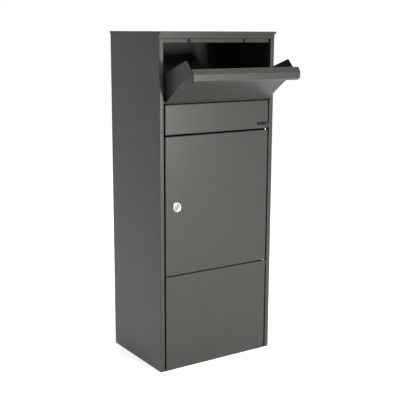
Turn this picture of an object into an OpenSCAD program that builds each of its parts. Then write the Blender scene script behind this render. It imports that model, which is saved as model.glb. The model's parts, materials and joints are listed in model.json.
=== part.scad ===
// Parcel drop box: a folded sheet-steel cabinet that stands on the floor, with a
// pull-down hatch at the top and a lockable door in the middle.
// Origin: centre of the footprint on the floor. +X to the right seen from the
// front, +Y to the back, +Z up. The hatch is drawn open, the door is shut.

/* [Cabinet] */
// Height over the roof
cab_h = 1030; // [1000:5:1060]
// Width over the side panels
cab_w = 415; // [405:5:430]
// Depth from the front faces to the back
cab_d = 300; // [290:5:320]
// Thickness of the folded sheet
sheet = 1.5; // [1.2:0.1:1.6]
// Width of the front strip at each side
strip_w = 14.5; // [14:0.5:16]
// How far the front strips fold back inside
jamb_d = 18; // [17:0.5:19]
// Gap between a side jamb and the fronts
side_gap = 5; // [4.5:0.25:5.5]

/* [Roof and top rail] */
// Height of the roof's turned-down edge
roof_lip = 8; // [7:1:10]
// Overhang of the roof at each side and at the back
roof_out = 2; // [2:0.5:4]
// Overhang of the roof at the front
roof_front = 6; // [4:1:10]
// Height of the rail's face below the roof edge
rail_h = 12.5; // [10:0.5:14]
// Setback of the rail's lower flange behind its face
drop_set = 9; // [9:0.5:10]
// Height of the rail's lower flange
drop_h = 12.5; // [12:0.5:14]

/* [Fronts] */
// Height of the lower fixed panel
lower_h = 300; // [280:5:320]
// Height of the door's lower edge
door_z0 = 302.5; // [302:0.25:303]
// Height of the door's upper edge
door_z1 = 727; // [710:1:727]
// Height of the upper fixed panel's lower edge
upper_z0 = 732; // [731:0.5:733]
// Height of the upper fixed panel's upper edge
upper_z1 = 820; // [818:0.5:820]
// Depth of the folded edges of the door and the fixed panels
fold_d = 14; // [13:0.5:14]

/* [Hatch] */
// Height of the hatch's hinge line above the floor
hatch_z = 828; // [828:0.5:829]
// Distance of both hinge lines behind the front faces
hinge_set = 7; // [6.5:0.5:7]
// Height of the hatch panel above its hinge line
hatch_h = 180; // [178:1:180]
// Angle at which the hatch stands open
hatch_open = 54.5; // [50:0.5:58]
// Half width of the hatch panel
hatch_half = 187.5; // [187:0.25:188]
// Length of the parcel tray behind the hinge line
tray_len = 262; // [240:2:266]
// Thickness of the tray sheet
tray_t = 1; // [0.8:0.1:1.2]

/* [Door hinge and lock] */
// Distance of the door's hinge line from the middle
door_hinge_x = 182.5; // [181:0.5:182.5]
// Radius of the hinge pins
pin_r = 3; // [2.5:0.1:3]
// Running clearance around a hinge pin
run = 0.05; // [0.03:0.01:0.08]
// Distance of the lock to the left of the middle
lock_x = 150; // [148:1:152]
// Height of the lock
lock_z = 514.5; // [480:0.5:540]
// Radius of the lock's rose
rose_r = 15; // [13:0.5:16]
// Reach of the lock's cam from its axis
cam_len = 41.5; // [40:0.5:42]

/* [Fixing holes] */
// Radius of the anchor holes in the base and in the back
anchor_r = 5; // [4:0.5:6]
// Spacing of the base holes across the width
base_dx = 300; // [240:10:320]
// Spacing of the base holes along the depth
base_dy = 200; // [160:10:220]
// Spacing of the wall holes across the width
wall_dx = 250; // [200:10:300]
// Spacing of the wall holes up the back
wall_dz = 300; // [200:10:320]
// Height of the middle of the wall holes
wall_z = 560; // [540:5:580]

/* [Hidden] */
$fn = 48;
eps = 1; // overcut of a hole past the faces that it goes through

// Colours
coat = [0.29, 0.29, 0.28];
nickel = [0.82, 0.82, 0.77];
zinc = [0.66, 0.67, 0.68];
rubber = [0.07, 0.07, 0.07];
nylon = [0.05, 0.05, 0.05];
plate_dark = [0.1, 0.1, 0.11];

// Planes of the cabinet
half_w = cab_w / 2;
front = -cab_d / 2;
back = cab_d / 2;
skin = half_w - sheet;          // inner face of a side panel
jamb = half_w - strip_w;        // face of a jamb towards the opening
jamb_back = front + jamb_d;     // rear edge of a jamb
roof_under = cab_h - sheet;     // underside of the roof sheet
rail_z = cab_h - roof_lip - rail_h;
drop_y = front + drop_set;
drop_z = rail_z - drop_h;
front_half = jamb - side_gap;   // half width of the fixed fronts
fold_y = front + fold_d;        // rear edge of the folded edges
side_flange = 16;               // width of the inward flanges of a side panel
flange_y = 130;                 // half length of its top and bottom flanges
ease = 0.5;                     // gap left where sheets meet inside
play = 0.2;                     // gap between parts that slide or press

// Hinge lines
hinge_y = front + hinge_set;
knuckle_r = hinge_set;
tray_z = knuckle_r;             // underside of the tray above the hatch's hinge line

// Small fixings
rivet_r = 1.6;
rivet_head_r = 3.2;
rivet_head_h = 1;
screw_r = 2;
head_r = 4.2;
head_h = 2.2;
stud_r = 2.5;                   // studs under the roof
stud_hole_r = 3.2;
stud_pitch = 100;
stud_len = 9;
stud_nut_r = 4.6;
stud_nut_h = 4;

// ---------------------------------------------------------------- shared shapes

function unit(v) = v / norm(v);
function left_of(v) = [-v[1], v[0]];
function miter(a, b) = let (m = left_of(a) + left_of(b)) m * 2 / (m * m);

// Outline of a sheet folded along a path, its thickness lying to the left
function fold_outline(path, t) = let (
    last = len(path) - 1,
    d = [for (i = [0 : last - 1]) unit(path[i + 1] - path[i])],
    side = [for (i = [0 : last])
      i == 0 ? left_of(d[0]) : i == last ? left_of(d[last - 1]) : miter(d[i - 1], d[i])])
  concat(path, [for (i = [last : -1 : 0]) path[i] + t * side[i]]);

module folded(path, length, t = sheet) {
  linear_extrude(length) polygon(fold_outline(path, t));
}

// A block between two corners
module block(a, b) {
  translate([min(a[0], b[0]), min(a[1], b[1]), min(a[2], b[2])])
    cube([abs(b[0] - a[0]), abs(b[1] - a[1]), abs(b[2] - a[2])]);
}

// A section drawn in the Y-Z plane, extruded along X between two places
module along_x(x0, x1) {
  translate([x0, 0, 0]) rotate([90, 0, 90]) linear_extrude(x1 - x0) children();
}

// Round bars along each axis, between two places
module bar_x(r, x0, x1, y, z) {
  translate([x0, y, z]) rotate([0, 90, 0]) cylinder(r = r, h = x1 - x0);
}
module bar_y(r, y0, y1, x, z) {
  translate([x, y0, z]) rotate([-90, 0, 0]) cylinder(r = r, h = y1 - y0);
}
module bar_z(r, z0, z1, x, y) {
  translate([x, y, z0]) cylinder(r = r, h = z1 - z0);
}

module both_sides() {
  children();
  mirror([1, 0, 0]) children();
}

// Children drawn with the hatch shut, Y and Z counted from its hinge line
module hatch_frame() {
  translate([0, hinge_y, hatch_z]) rotate([hatch_open, 0, 0]) children();
}
// Children drawn with the hatch open, Y and Z counted from its hinge line
module open_frame() {
  translate([0, hinge_y, hatch_z]) children();
}

// ---------------------------------------------------------------- cabinet

module roof_stud_places() {
  for (y = [-1, 0, 1] * stud_pitch) translate([skin - side_flange / 2, y, 0]) children();
}
module back_rivet_places() {
  lowest = 60;
  pitch = 130;
  highest = 970;
  for (z = [lowest : pitch : highest]) translate([skin - side_flange / 2, 0, z]) children();
}

// The right-hand side panel; the left one is its mirror image
module side_sheet() {
  foot = [[skin - side_flange, back - sheet], [half_w, back - sheet], [half_w, front],
          [jamb, front], [jamb, jamb_back]];
  head = [foot[0], foot[1], [half_w, front + sheet]];
  difference() {
    union() {
      mirror([1, 0, 0]) folded([for (p = foot) [-p[0], p[1]]], rail_z);
      mirror([1, 0, 0]) translate([0, 0, rail_z])
        folded([for (p = head) [-p[0], p[1]]], roof_under - rail_z);
      for (z = [sheet, roof_under - sheet])
        block([skin - side_flange, -flange_y, z], [skin + sheet / 2, flange_y, z + sheet]);
    }
    bar_x(pin_r + run, jamb - eps, half_w + eps, hinge_y, hatch_z);
    roof_stud_places() bar_z(stud_hole_r, roof_under - sheet - eps, roof_under + eps, 0, 0);
    back_rivet_places() bar_y(rivet_r + run, back - 2 * sheet - eps, back, 0, 0);
  }
}

module left_side_panel() { color(coat) mirror([1, 0, 0]) side_sheet(); }
module right_side_panel() { color(coat) side_sheet(); }

module back_panel() {
  color(coat) difference() {
    block([-half_w, back - sheet, 0], [half_w, back, roof_under]);
    for (x = [-1, 1] * wall_dx / 2, z = [-1, 1] * wall_dz / 2)
      bar_y(anchor_r, back - sheet - eps, back + eps, x, wall_z + z);
    both_sides() back_rivet_places() bar_y(rivet_r + run, back - sheet - eps, back + eps, 0, 0);
  }
}

module base_plate() {
  narrow = jamb - ease;
  upstand = 20;
  in_front = front_half - 2 * sheet;
  color(coat) difference() {
    union() {
      block([-narrow, front + sheet, 0], [narrow, jamb_back + ease, sheet]);
      block([-skin, jamb_back + ease, 0], [skin, back - 2 * sheet, sheet]);
      block([-in_front, front + sheet, 0], [in_front, front + 2 * sheet, upstand]);
      block([-in_front, back - 2 * sheet, 0], [in_front, back - sheet, upstand]);
    }
    for (x = [-1, 1] * base_dx / 2, y = [-1, 1] * base_dy / 2)
      bar_z(anchor_r, -eps, sheet + eps, x, y);
  }
}

// A shallow pan that drops over the side panels, with studs for its nuts
module roof() {
  out_x = half_w + roof_out;
  out_front = front - roof_front;
  out_back = back + roof_out;
  color(coat) {
    difference() {
      block([-out_x, out_front, cab_h - roof_lip], [out_x, out_back, cab_h]);
      block([-out_x + sheet, out_front + sheet, cab_h - roof_lip - eps],
            [out_x - sheet, out_back - sheet, roof_under]);
    }
    both_sides() roof_stud_places() bar_z(stud_r, roof_under - stud_len, roof_under + sheet / 2, 0, 0);
  }
}

module roof_nuts() {
  z = roof_under - sheet - stud_nut_h;
  color(zinc) both_sides() roof_stud_places() difference() {
    translate([0, 0, z]) cylinder(r = stud_nut_r, h = stud_nut_h, $fn = 6);
    bar_z(stud_r + run, z - eps, roof_under, 0, 0);
  }
}

// Front rail: a face over the full width, and a set-back flange that the hatch meets
module top_rail() {
  flange = 15;
  hem = 9;
  color(coat) {
    block([-half_w, front, rail_z], [half_w, front + sheet, roof_under]);
    block([-skin, front + sheet / 2, roof_under - sheet], [skin, front + flange, roof_under]);
    block([-skin, front + sheet / 2, rail_z], [skin, drop_y + sheet, rail_z + sheet]);
    difference() {
      union() {
        block([-jamb + ease, drop_y, drop_z], [jamb - ease, drop_y + sheet, rail_z + sheet / 2]);
        block([-jamb + ease, drop_y, drop_z], [jamb - ease, drop_y + hem, drop_z + sheet]);
      }
      both_sides() bar_y(buffer_stem_r + run, drop_y - eps, drop_y + sheet + eps, buffer_x, buffer_z);
    }
  }
}

buffer_x = 100;
buffer_z = drop_z + 6;
buffer_r = 5;
buffer_stem_r = 2;

module hatch_buffers() {
  reach = drop_set - 2 * sheet - play;
  stem = 5;
  color(rubber) both_sides() {
    bar_y(buffer_r, drop_y - reach, drop_y, buffer_x, buffer_z);
    bar_y(buffer_stem_r, drop_y - reach / 2, drop_y + stem, buffer_x, buffer_z);
  }
}

// A fixed front panel: a face with its four edges folded back. The side folds
// stop short of the ends where the hinge bracket or the hatch needs the room.
module fixed_front(z0, z1, low_fold, side0, side1) {
  block([-front_half, front, z0], [front_half, front + sheet, z1]);
  block([-front_half, front, z1 - sheet], [front_half, fold_y, z1]);
  if (low_fold) block([-front_half, front, z0], [front_half, fold_y, z0 + sheet]);
  both_sides() block([front_half - sheet, front, side0], [front_half, fold_y, side1]);
}

bracket_t = 3;
fold_short = 20;                // how far a side fold stops short of the panel's end
fold_short_top = 12;            // and below the hatch

module upper_front_panel() {
  color(coat) difference() {
    fixed_front(upper_z0, upper_z1, true, upper_z0 + fold_short, upper_z1 - fold_short_top);
    bar_z(pin_r + 1, upper_z0 - eps, upper_z0 + sheet + eps, door_hinge_x, hinge_y);
  }
}

module lower_front_panel() {
  color(coat) difference() {
    fixed_front(0, lower_h, false, sheet + fold_short, lower_h - fold_short);
    bar_z(pin_r + run, lower_h - sheet - eps, lower_h + eps, door_hinge_x, hinge_y);
  }
}

angle_set = 5;                  // setback of an angle behind the front faces

// Angles on the jambs that carry the side folds of the fixed panels
module front_angles(z0, z1) {
  reach = 21;
  path = [[-jamb, front + angle_set], [-jamb, fold_y + sheet], [-jamb + reach, fold_y + sheet]];
  both_sides() mirror([1, 0, 0]) translate([0, 0, z0]) folded(path, z1 - z0, -sheet);
}

module upper_panel_angles() { color(coat) front_angles(upper_z0 + fold_short, upper_z1 - fold_short); }
module lower_panel_angles() { color(coat) front_angles(sheet + fold_short, lower_h - fold_short); }

floor_screw_x = skin - side_flange + 6;
floor_screw_ys = [-90, 110];
floor_screw_places = [for (x = [-floor_screw_x, floor_screw_x], y = floor_screw_ys) [x, y]];

module compartment_floor() {
  notch = 25;
  color(coat) difference() {
    union() {
      block([-front_half + notch, fold_y + ease, lower_h], [front_half - notch, 0, lower_h + sheet]);
      block([-skin + ease, jamb_back + 2 * ease, lower_h],
            [skin - ease, back - 2 * sheet - ease, lower_h + sheet]);
    }
    for (p = floor_screw_places) bar_z(screw_r + run, lower_h - eps, lower_h + sheet + eps, p[0], p[1]);
  }
}

module floor_supports() {
  leg = 20;
  y0 = jamb_back + 4;
  y1 = back - 5;
  color(coat) difference() {
    both_sides() {
      block([skin - sheet, y0, lower_h - leg], [skin, y1, lower_h]);
      block([skin - leg, y0, lower_h - sheet], [skin, y1, lower_h]);
    }
    for (p = floor_screw_places) bar_z(screw_r + run, lower_h - sheet - eps, lower_h + eps, p[0], p[1]);
  }
}

module floor_screws() {
  tip = 8;
  color(zinc) for (p = floor_screw_places) {
    bar_z(screw_r, lower_h - tip, lower_h + sheet + head_h / 2, p[0], p[1]);
    bar_z(head_r, lower_h + sheet, lower_h + sheet + head_h, p[0], p[1]);
  }
}

// Strip behind the door's free edge
stop_y = fold_y + sheet;

module door_stop() {
  reach = 15;
  end = 1;
  color(coat) translate([0, 0, door_z0 + end])
    folded([[-jamb, front + angle_set], [-jamb, stop_y + sheet], [-jamb + reach, stop_y + sheet]],
           door_z1 - door_z0 - 2 * end, -sheet);
}

module door_bumpers() {
  from_end = 40;
  from_lock = 90;
  half_h = 12;
  x0 = -front_half - 1;
  width = 9;
  color(rubber)
    for (z = [door_z0 + from_end, lock_z - from_lock, lock_z + from_lock, door_z1 - from_end])
      block([x0, stop_y, z - half_h], [x0 + width, fold_y + play, z + half_h]);
}

// Plates that hold the door's pins above and below it
module bracket(z0, tab_z) {
  inner_x = 170;
  beyond = 2;
  difference() {
    union() {
      block([inner_x, front + sheet, z0], [jamb, jamb_back + beyond, z0 + bracket_t]);
      block([jamb - bracket_t, front + sheet, min(z0, tab_z)],
            [jamb, jamb_back, max(z0 + bracket_t, tab_z)]);
    }
    bar_z(pin_r + run, z0 - eps, z0 + bracket_t + eps, door_hinge_x, hinge_y);
  }
}

upper_bracket_z = upper_z0 + sheet;
lower_bracket_z = lower_h - sheet - bracket_t;

module door_brackets() {
  tab = 12;
  color(coat) {
    bracket(upper_bracket_z, upper_bracket_z + bracket_t + tab);
    bracket(lower_bracket_z, lower_bracket_z - tab);
  }
}

pin_in = 8; // how far a pin reaches into the door

module door_pins() {
  collar_r = 5;
  collar_h = 2;
  color(nickel) {
    bar_z(pin_r, door_z1 - pin_in, upper_bracket_z + bracket_t + collar_h, door_hinge_x, hinge_y);
    bar_z(collar_r, upper_bracket_z + bracket_t, upper_bracket_z + bracket_t + collar_h,
          door_hinge_x, hinge_y);
    bar_z(pin_r, lower_bracket_z - collar_h, door_z0 + pin_in, door_hinge_x, hinge_y);
    bar_z(collar_r, lower_bracket_z - collar_h, lower_bracket_z, door_hinge_x, hinge_y);
  }
}

module door_washer() {
  washer_r = 5.5;
  color(nickel) difference() {
    bar_z(washer_r, lower_h, door_z0, door_hinge_x, hinge_y);
    bar_z(pin_r + run, lower_h - eps, door_z0 + eps, door_hinge_x, hinge_y);
  }
}

cheek_in = 180;                 // inner face of a cheek
cheek_out = cheek_in + sheet;
bush_r = 5;

module hatch_pins() {
  pin_head = 1.2;
  past = 4;
  color(coat) both_sides() {
    bar_x(pin_r, cheek_in - past, half_w + pin_head, hinge_y, hatch_z);
    bar_x(head_r, half_w, half_w + pin_head, hinge_y, hatch_z);
  }
}

module hatch_spacers() {
  color(nylon) both_sides() difference() {
    bar_x(bush_r, cheek_out + play, jamb, hinge_y, hatch_z);
    bar_x(pin_r + run, cheek_out, jamb + eps, hinge_y, hatch_z);
  }
}

// Brackets over the tray's rear corners; the tray comes up against their pads
stop_place_y = 228;             // behind the hinge line
stop_gap = 11;                  // height of the bracket over the tray
pad_x = 168;
pad_r = 8;
pad_stem_r = 2;

module tray_stops() {
  z = tray_z + tray_t + stop_gap;
  t = 2;
  tall = 24;
  half_d = 15;
  color(coat) open_frame() both_sides() difference() {
    union() {
      block([skin - t, stop_place_y - half_d, z], [skin, stop_place_y + half_d, z + tall]);
      block([pad_x - pad_r - t, stop_place_y - half_d, z], [skin, stop_place_y + half_d, z + t]);
    }
    bar_z(pad_stem_r + run, z - eps, z + t + eps, pad_x, stop_place_y);
  }
}

module tray_pads() {
  z = tray_z + tray_t;
  stem = 5;
  color(rubber) open_frame() both_sides() {
    bar_z(pad_r, z + play, z + stop_gap, pad_x, stop_place_y);
    bar_z(pad_stem_r, z + stop_gap - eps, z + stop_gap + stem, pad_x, stop_place_y);
  }
}

module back_rivets() {
  color(zinc) both_sides() back_rivet_places() {
    bar_y(rivet_r, back - 2 * sheet - 2, back + rivet_head_h / 2, 0, 0);
    bar_y(rivet_head_r, back, back + rivet_head_h, 0, 0);
  }
}

module badge_plate() {
  badge_w = 37.5;
  badge_h = 10;
  badge_x = 164;
  badge_z = 748;
  badge_t = 1;
  recess = 0.3;
  border = 1;
  color(plate_dark) difference() {
    block([badge_x - badge_w / 2, front - badge_t, badge_z - badge_h / 2],
          [badge_x + badge_w / 2, front, badge_z + badge_h / 2]);
    block([badge_x - badge_w / 2 + border, front - badge_t - eps, badge_z - badge_h / 2 + border],
          [badge_x + badge_w / 2 - border, front - badge_t + recess, badge_z + badge_h / 2 - border]);
  }
}

// ---------------------------------------------------------------- hatch

// Face sheet whose lower edge is rolled into a tube around the hinge line
module hatch_panel() {
  color(coat) hatch_frame() {
    block([-hatch_half, -knuckle_r, 0], [hatch_half, -knuckle_r + sheet, hatch_h - sheet]);
    difference() {
      bar_x(knuckle_r, -cheek_in, cheek_in, 0, 0);
      bar_x(knuckle_r - sheet, -cheek_in - eps, cheek_in + eps, 0, 0);
    }
  }
}

grip_flange = 30;
grip_deep = 15;                 // depth of the grip's top band
grip_nose = 14.5;               // how far its sloped band runs on
grip_drop = 12;                 // how far its sloped band drops
grip_face = 10;                 // height of its front band
grip_hem = 7;                   // depth of its turned-back edge

// Pull lip folded from one strip and fixed inside the panel's top edge
module hatch_grip() {
  y = -knuckle_r;
  path = [[y + sheet, hatch_h - grip_flange - sheet], [y + sheet, hatch_h - sheet],
          [y - grip_deep, hatch_h - sheet],
          [y - grip_deep - grip_nose + sheet, hatch_h - grip_drop],
          [y - grip_deep - grip_nose + sheet, hatch_h - grip_drop - grip_face],
          [y - grip_deep - grip_nose + grip_hem, hatch_h - grip_drop - grip_face]];
  color(coat) hatch_frame() difference() {
    along_x(-hatch_half, hatch_half) polygon(fold_outline(path, -sheet));
    both_sides() // the flange fits between the cheeks
      block([cheek_in - play, y + sheet, path[0][1] - eps],
            [hatch_half + eps, y + 3 * sheet, hatch_h - sheet]);
  }
}

// Rounded corner of a cheek: points on an arc around a centre
arc_steps = 6;
function corner(c, r, a0, a1) = [for (i = [0 : arc_steps])
  let (a = a0 + (a1 - a0) * i / arc_steps) c + r * [cos(a), sin(a)]];

// Turns a point of the open hatch into the shut hatch's frame
function shut(p) = [p[0] * cos(hatch_open) + p[1] * sin(hatch_open),
                    -p[0] * sin(hatch_open) + p[1] * cos(hatch_open)];

cheek_top = 167;                // height of a cheek's front edge above the hinge line
cheek_corner = [30, 153];       // centre of its top corner
cheek_r = 8;                    // radius of its top corner
cheek_slope = 12;               // fall of its top edge
cheek_lean = 17;                // lean of its rear edge
cheek_back = 84;                // its depth level with the hinge line
tray_front = 78;                // length of the cheek's foot on the tray

// The right-hand cheek; the left one is its mirror image
module cheek() {
  inner = -knuckle_r + sheet;
  foot = shut([tray_front, tray_z]);
  heel_r = 10;
  heel_z = 44;
  heel_turn = 65;
  outline = concat(
    [[inner, cheek_top]],
    corner(cheek_corner, cheek_r, 90 - cheek_slope, cheek_lean),
    [[cheek_back, 0]],
    corner(shut([tray_front - heel_r, heel_z]), heel_r, cheek_lean, cheek_lean - heel_turn),
    [foot, shut([knuckle_r / 2, tray_z]), [0, 0], [inner, 0]]);
  flange = 13;
  flange_z = 45;
  color(coat) hatch_frame() difference() {
    union() {
      difference() {
        union() {
          along_x(cheek_in, cheek_out) polygon(outline);
          bar_x(knuckle_r, cheek_in, cheek_out, 0, 0);
        }
        block([cheek_in - eps, -knuckle_r - eps, 0], [cheek_out + eps, inner, knuckle_r + eps]);
      }
      block([cheek_in - flange, inner, flange_z],
            [cheek_out, inner + sheet, hatch_h - grip_flange - sheet - 2 * eps]);
    }
    bar_x(bush_r + run, cheek_in - eps, cheek_out + eps, 0, 0);
    rivet_places() bar_x(rivet_r + run, cheek_in - eps, cheek_out + eps, 0, 0);
  }
}

// Rivets between the tray's side flanges and the cheeks, in the shut hatch's frame
module rivet_places() {
  first = 10;
  pitch = 28;
  up = 6;
  for (i = [0 : 2]) rotate([-hatch_open, 0, 0])
    translate([0, first + i * pitch, tray_z + tray_t + up]) children();
}

module left_cheek() { mirror([1, 0, 0]) cheek(); }
module right_cheek() { cheek(); }

// Tray that carries the parcel: level while the hatch is open, tipped when it shuts
module parcel_tray() {
  panel_in = -knuckle_r + sheet;
  up = 20;
  // where the tray's underside meets the panel's inner face, hatch open
  meet_w = (tray_z - panel_in * sin(hatch_open)) / cos(hatch_open);
  meet_y = panel_in * cos(hatch_open) - meet_w * sin(hatch_open);
  top = [panel_in * cos(hatch_open) - (meet_w + up) * sin(hatch_open),
         panel_in * sin(hatch_open) + (meet_w + up) * cos(hatch_open)];
  hem = 10;
  side = 12;
  side_len = 200;
  z = tray_z + tray_t;
  path = [top, [meet_y, tray_z], [tray_len, tray_z], [tray_len, tray_z - hem]];
  color(coat) open_frame() {
    difference() {
      union() {
        along_x(-cheek_in, cheek_in) polygon(fold_outline(path, tray_t));
        both_sides() block([cheek_in - tray_t, 0, tray_z + tray_t / 2], [cheek_in, side_len, z + side]);
      }
      both_sides() rotate([hatch_open, 0, 0]) rivet_places()
        bar_x(rivet_r + run, cheek_in - tray_t - eps, cheek_in + eps, 0, 0);
    }
  }
}

module tray_rivets() {
  color(zinc) hatch_frame() both_sides() rivet_places() {
    bar_x(rivet_r, cheek_in - tray_t - rivet_head_h / 2, cheek_out, 0, 0);
    bar_x(rivet_head_r, cheek_in - tray_t - rivet_head_h, cheek_in - tray_t, 0, 0);
  }
}

module hatch_bushes() {
  collar = 3;
  color(nylon) hatch_frame() both_sides() difference() {
    bar_x(bush_r, cheek_in - collar, cheek_out, 0, 0);
    bar_x(pin_r + run, cheek_in - collar - eps, cheek_out + eps, 0, 0);
  }
}

// ---------------------------------------------------------------- door

door_x0 = -front_half;
door_x1 = front_half + ease;
door_bush_r = 4.3;
barrel_r = 9;

module door_panel() {
  color(coat) difference() {
    union() {
      block([door_x0, front, door_z0], [door_x1, front + sheet, door_z1]);
      block([door_x0, front, door_z1 - sheet], [door_x1, fold_y, door_z1]);
      block([door_x0, front, door_z0], [door_x1, fold_y, door_z0 + sheet]);
      block([door_x0, front, door_z0], [door_x0 + sheet, fold_y, door_z1]);
      block([door_x1 - sheet, front, door_z0], [door_x1, fold_y, door_z1]);
    }
    bar_y(barrel_r + run, front - eps, front + sheet + eps, -lock_x, lock_z);
    for (z = [door_z0, door_z1 - sheet])
      bar_z(door_bush_r + run, z - eps, z + sheet + eps, door_hinge_x, hinge_y);
  }
}

module hinge_plate(z0) {
  inner_x = 150;
  difference() {
    block([inner_x, front + sheet, z0], [door_x1 - sheet, fold_y, z0 + bracket_t]);
    bar_z(door_bush_r + run, z0 - eps, z0 + bracket_t + eps, door_hinge_x, hinge_y);
  }
}

module door_hinge_plates() {
  color(coat) {
    hinge_plate(door_z1 - sheet - bracket_t);
    hinge_plate(door_z0 + sheet);
  }
}

module door_bushes() {
  color(nylon) for (z = [door_z0, door_z1 - pin_in]) difference() {
    bar_z(door_bush_r, z, z + pin_in, door_hinge_x, hinge_y);
    bar_z(pin_r + run, z - eps, z + pin_in + eps, door_hinge_x, hinge_y);
  }
}

// ---------------------------------------------------------------- lock

plug_r = 6.5;
rose_h = 2.5;
cam_y = jamb_back + 1;          // front face of the cam, behind the jamb
cam_t = 2.5;
tail = 7;                       // side of the plug's square tail
lock_screw_r = 2;
lock_screw_in = 3;              // how far the cam's screw reaches into the plug

module lock_housing() {
  chamfer = 0.8;
  color(nickel) difference() {
    union() {
      translate([-lock_x, front, lock_z]) rotate([90, 0, 0]) {
        cylinder(r = rose_r, h = rose_h - chamfer);
        translate([0, 0, rose_h - chamfer]) cylinder(r1 = rose_r, r2 = rose_r - chamfer, h = chamfer);
      }
      bar_y(barrel_r, front - rose_h / 2, cam_y - 1, -lock_x, lock_z);
    }
    bar_y(plug_r + run, front - rose_h - eps, cam_y, -lock_x, lock_z);
  }
}

module lock_nut() {
  nut_r = 13.9;
  nut_h = 5;
  color(nickel) difference() {
    translate([-lock_x, front + sheet, lock_z]) rotate([-90, 0, 0]) cylinder(r = nut_r, h = nut_h, $fn = 6);
    bar_y(barrel_r + run, front + sheet - eps, front + sheet + nut_h + eps, -lock_x, lock_z);
  }
}

// Plug with its key slot, and the square tail that carries the cam
module lock_plug() {
  slot_w = 2;
  slot_h = 8;
  slot_deep = 12;
  slot_up = 0.4;                // share of the slot above the axis
  proud = 0.3;
  face = front - rose_h - proud;
  color(nickel) difference() {
    union() {
      bar_y(plug_r, face, cam_y - proud, -lock_x, lock_z);
      block([-lock_x - tail / 2, cam_y - 2 * proud, lock_z - tail / 2],
            [-lock_x + tail / 2, cam_y + cam_t, lock_z + tail / 2]);
    }
    block([-lock_x - slot_w / 2, face - eps, lock_z - slot_h * (1 - slot_up)],
          [-lock_x + slot_w / 2, face + slot_deep, lock_z + slot_h * slot_up]);
    bar_y(lock_screw_r + run, cam_y - lock_screw_in - eps, cam_y + cam_t + eps, -lock_x, lock_z);
  }
}

module lock_cam() {
  root_r = 9;
  tip_r = 6;
  color(zinc) difference() {
    union() {
      bar_y(root_r, cam_y, cam_y + cam_t, -lock_x, lock_z);
      bar_y(tip_r, cam_y, cam_y + cam_t, -lock_x, lock_z - cam_len + tip_r);
      block([-lock_x - tip_r, cam_y, lock_z - cam_len + tip_r], [-lock_x + tip_r, cam_y + cam_t, lock_z]);
    }
    block([-lock_x - tail / 2 - run, cam_y - eps, lock_z - tail / 2 - run],
          [-lock_x + tail / 2 + run, cam_y + cam_t + eps, lock_z + tail / 2 + run]);
  }
}

module lock_screw() {
  lock_head_r = 6;
  color(zinc) {
    bar_y(lock_screw_r, cam_y - lock_screw_in, cam_y + cam_t + head_h / 2, -lock_x, lock_z);
    bar_y(lock_head_r, cam_y + cam_t, cam_y + cam_t + head_h, -lock_x, lock_z);
  }
}

// ---------------------------------------------------------------- nodes

left_side_panel();
right_side_panel();
back_panel();
base_plate();
roof();
top_rail();
upper_front_panel();
lower_front_panel();
upper_panel_angles();
lower_panel_angles();
compartment_floor();
floor_supports();
floor_screws();
door_stop();
door_bumpers();
door_brackets();
door_pins();
door_washer();
hatch_pins();
hatch_spacers();
tray_stops();
tray_pads();
hatch_buffers();
roof_nuts();
back_rivets();
badge_plate();
hatch_panel();
hatch_grip();
left_cheek();
right_cheek();
parcel_tray();
tray_rivets();
hatch_bushes();
door_panel();
door_hinge_plates();
door_bushes();
lock_housing();
lock_nut();
lock_plug();
lock_cam();
lock_screw();
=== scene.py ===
# %% [markdown]
# # A parcel drop box in folded sheet steel
# A courier pulls the hatch open, lays a parcel on the tray behind it and lets the hatch shut. The
# tray tips, the parcel slides into the locked compartment, and the owner takes it out by the door.
# Nearly every piece is thin steel, cut flat, folded in a press and powder-coated. So the model
# needs true bend radii, crisp cut edges, even gaps and a coating with a fine grain. The CAD model
# holds every size and every joint. This script gives each CAD piece its finished form.

# %% Load the frame
import json
import math

import bmesh
import bpy
from mathutils import Matrix, Vector


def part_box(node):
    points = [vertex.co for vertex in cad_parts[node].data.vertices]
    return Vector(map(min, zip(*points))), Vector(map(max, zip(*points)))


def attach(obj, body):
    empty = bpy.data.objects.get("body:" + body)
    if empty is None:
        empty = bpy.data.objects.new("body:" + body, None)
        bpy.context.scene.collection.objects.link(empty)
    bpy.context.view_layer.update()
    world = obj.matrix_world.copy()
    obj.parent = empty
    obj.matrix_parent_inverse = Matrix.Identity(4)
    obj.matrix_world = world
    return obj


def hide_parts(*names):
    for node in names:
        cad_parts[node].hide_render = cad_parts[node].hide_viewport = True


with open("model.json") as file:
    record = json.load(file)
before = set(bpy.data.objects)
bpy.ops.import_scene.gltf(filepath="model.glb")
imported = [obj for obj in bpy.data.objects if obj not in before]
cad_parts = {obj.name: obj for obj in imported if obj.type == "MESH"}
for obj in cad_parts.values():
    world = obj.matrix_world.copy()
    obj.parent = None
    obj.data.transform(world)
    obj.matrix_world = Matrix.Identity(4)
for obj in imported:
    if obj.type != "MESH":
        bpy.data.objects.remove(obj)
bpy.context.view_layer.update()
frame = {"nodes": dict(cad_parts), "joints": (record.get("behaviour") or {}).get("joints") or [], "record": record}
MM = 0.001

# %% [markdown]
# ## Measures
# The frame knows where every piece is, so the faces, edges and hinge lines that the new pieces
# share are read from it once, and all sizes below follow from them.

# %% Read the shared measures
BODY_OF = {node: body for body, nodes in frame["record"]["behaviour"]["bodies"].items() for node in nodes}
PIVOT = {joint["name"]: Vector(joint["pos_m"]) for joint in frame["joints"]}
TURN = {joint["name"]: math.radians(joint["range_deg"][1]) for joint in frame["joints"]}

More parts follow.
